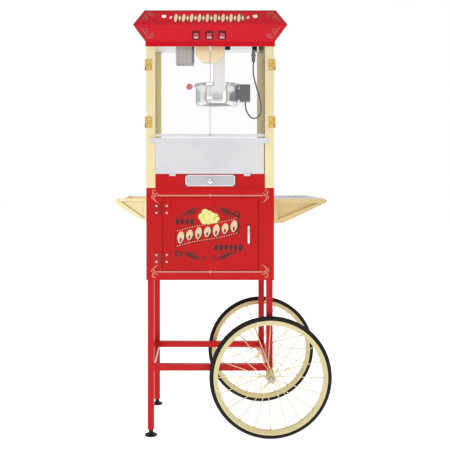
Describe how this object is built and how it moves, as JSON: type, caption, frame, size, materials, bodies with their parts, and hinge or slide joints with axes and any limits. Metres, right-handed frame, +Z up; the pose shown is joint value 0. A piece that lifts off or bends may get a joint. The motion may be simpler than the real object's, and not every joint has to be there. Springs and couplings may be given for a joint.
{
  "type": "popcorn maker",
  "caption": "Cart-style popcorn maker: glazed popper cabinet with tilting kettle under a folded sign, on a red cart with door, side shelf, push handle and spoked wheels",
  "frame": {"origin": "on the floor, under the middle of the whole machine's bounding box", "axes": "+X to the right seen from the front, +Y from the front to the back, +Z up"},
  "size_m": [0.7817, 0.529, 1.546],
  "materials": {
    "red_paint": "glossy red powder coat",
    "brass_paint": "pale brass-coloured coat",
    "stainless": "brushed stainless sheet",
    "steel": "plain steel",
    "polished": "polished",
    "acrylic": "clear",
    "tyre": "solid rubber",
    "rim_cream": "cream-gold gloss paint",
    "black_plastic": "moulded",
    "red_plastic": "moulded",
    "cream_plastic": "translucent cream",
    "bulb_glass": "tinted bulb",
    "lead_rubber": "rubber sheath"
  },
  "bodies": {
    "root": {"cart_panels": "red_paint", "cart_shelves": "red_paint", "cart_front_frame": "red_paint", "hinge_frame_leaves": "brass_paint", "cart_legs": "red_paint", "lower_rails": "red_paint", "levelling_feet": "black_plastic", "axle": "steel", "axle_brackets": "brass_paint", "handle_brackets": "brass_paint", "push_rod": "steel", "shelf_brackets": "brass_paint", "side_shelf": "stainless", "shelf_rod": "steel", "popper_posts": "brass_paint", "fixed_windows": "acrylic", "door_sill": "stainless", "panel_clips": "stainless", "popper_base": "red_paint", "popcorn_deck": "stainless", "roof_sign": "red_paint", "roof_cover": "red_paint", "ceiling_tray": "stainless", "switch_bezels": "black_plastic", "heat_lamp_shade": "stainless", "heat_lamp_bulb": "bulb_glass", "light_diffuser": "cream_plastic", "kettle_hangers": "stainless", "stirrer_motor": "steel", "kettle_socket": "black_plastic", "kettle_plug": "black_plastic", "kettle_lead": "lead_rubber"},
    "cart_door": {"cart_door": "red_paint", "cart_door_handle": "polished", "cart_door_hinges": "brass_paint"},
    "left_door": {"left_door_glass": "acrylic", "left_door_stile": "brass_paint"},
    "right_door": {"right_door_glass": "acrylic", "right_door_stile": "brass_paint"},
    "serving_panel": {"serving_panel": "stainless"},
    "drawer": {"kernel_drawer": "stainless", "drawer_knob": "polished"},
    "kettle": {"kettle_pan": "polished", "lid_crossbar": "stainless", "dump_lever": "stainless", "dump_knob": "red_plastic", "terminal_box": "black_plastic"},
    "lid_left": {"kettle_lid_left": "stainless"},
    "lid_right": {"kettle_lid_right": "stainless"},
    "stirrer": {"stirrer": "stainless"},
    "drive_shaft": {"drive_shaft": "steel"},
    "front_wheel": {"front_tyre": "tyre", "front_rim": "rim_cream", "front_hub_and_spokes": "rim_cream"},
    "rear_wheel": {"rear_tyre": "tyre", "rear_rim": "rim_cream", "rear_hub_and_spokes": "rim_cream"},
    "light_rocker": {"light_rocker": "red_plastic"},
    "kettle_rocker": {"kettle_rocker": "red_plastic"},
    "warmer_rocker": {"warmer_rocker": "red_plastic"}
  },
  "joints": [
    {"name": "cart_door_hinge", "type": "hinge", "parent": "root", "child": "cart_door", "pos_m": [-0.2197, -0.2025, 0.735], "axis": [0, 0, -1], "range_deg": [0, 110]},
    {"name": "left_door_hinge", "type": "hinge", "parent": "root", "child": "left_door", "pos_m": [-0.2812, -0.205, 1.244], "axis": [0, 0, -1], "range_deg": [0, 110]},
    {"name": "right_door_hinge", "type": "hinge", "parent": "root", "child": "right_door", "pos_m": [0.1878, -0.205, 1.244], "axis": [0, 0, 1], "range_deg": [0, 110]},
    {"name": "serving_panel_hinge", "type": "hinge", "parent": "root", "child": "serving_panel", "pos_m": [-0.0467, -0.2049, 0.951], "axis": [1, 0, 0], "range_deg": [0, 90]},
    {"name": "drawer_slide", "type": "slide", "parent": "root", "child": "drawer", "axis": [0, -1, 0], "range_m": [0, 0.22]},
    {"name": "kettle_tilt", "type": "hinge", "parent": "root", "child": "kettle", "pos_m": [-0.0107, 0, 1.2785], "axis": [0, -1, 0], "range_deg": [0, 100]},
    {"name": "left_lid_hinge", "type": "hinge", "parent": "kettle", "child": "lid_left", "pos_m": [-0.0322, 0, 1.3015], "axis": [0, 1, 0], "range_deg": [0, 88]},
    {"name": "right_lid_hinge", "type": "hinge", "parent": "kettle", "child": "lid_right", "pos_m": [-0.0052, 0, 1.3015], "axis": [0, -1, 0], "range_deg": [0, 88]},
    {"name": "stirrer_spin", "type": "hinge", "parent": "kettle", "child": "stirrer", "pos_m": [-0.0187, 0, 1.26], "axis": [0, 0, 1], "continuous": true},
    {"name": "drive_spin", "type": "hinge", "parent": "root", "child": "drive_shaft", "pos_m": [-0.0107, -0.099, 1.38], "axis": [0, 0, 1], "continuous": true},
    {"name": "front_wheel_spin", "type": "hinge", "parent": "root", "child": "front_wheel", "pos_m": [0.1703, -0.226, 0.2205], "axis": [0, 1, 0], "continuous": true},
    {"name": "rear_wheel_spin", "type": "hinge", "parent": "root", "child": "rear_wheel", "pos_m": [0.1703, 0.226, 0.2205], "axis": [0, 1, 0], "continuous": true},
    {"name": "light_rocker_pivot", "type": "hinge", "parent": "root", "child": "light_rocker", "pos_m": [-0.0977, -0.21586, 1.4522], "axis": [1, 0, 0], "range_deg": [-10, 10]},
    {"name": "kettle_rocker_pivot", "type": "hinge", "parent": "root", "child": "kettle_rocker", "pos_m": [-0.0507, -0.21586, 1.4522], "axis": [1, 0, 0], "range_deg": [-10, 10]},
    {"name": "warmer_rocker_pivot", "type": "hinge", "parent": "root", "child": "warmer_rocker", "pos_m": [-0.0037, -0.21586, 1.4522], "axis": [1, 0, 0], "range_deg": [-10, 10]}
  ],
  "couplings": [
    {"joint": "stirrer_spin", "follows": "drive_spin", "ratio": 1}
  ]
}
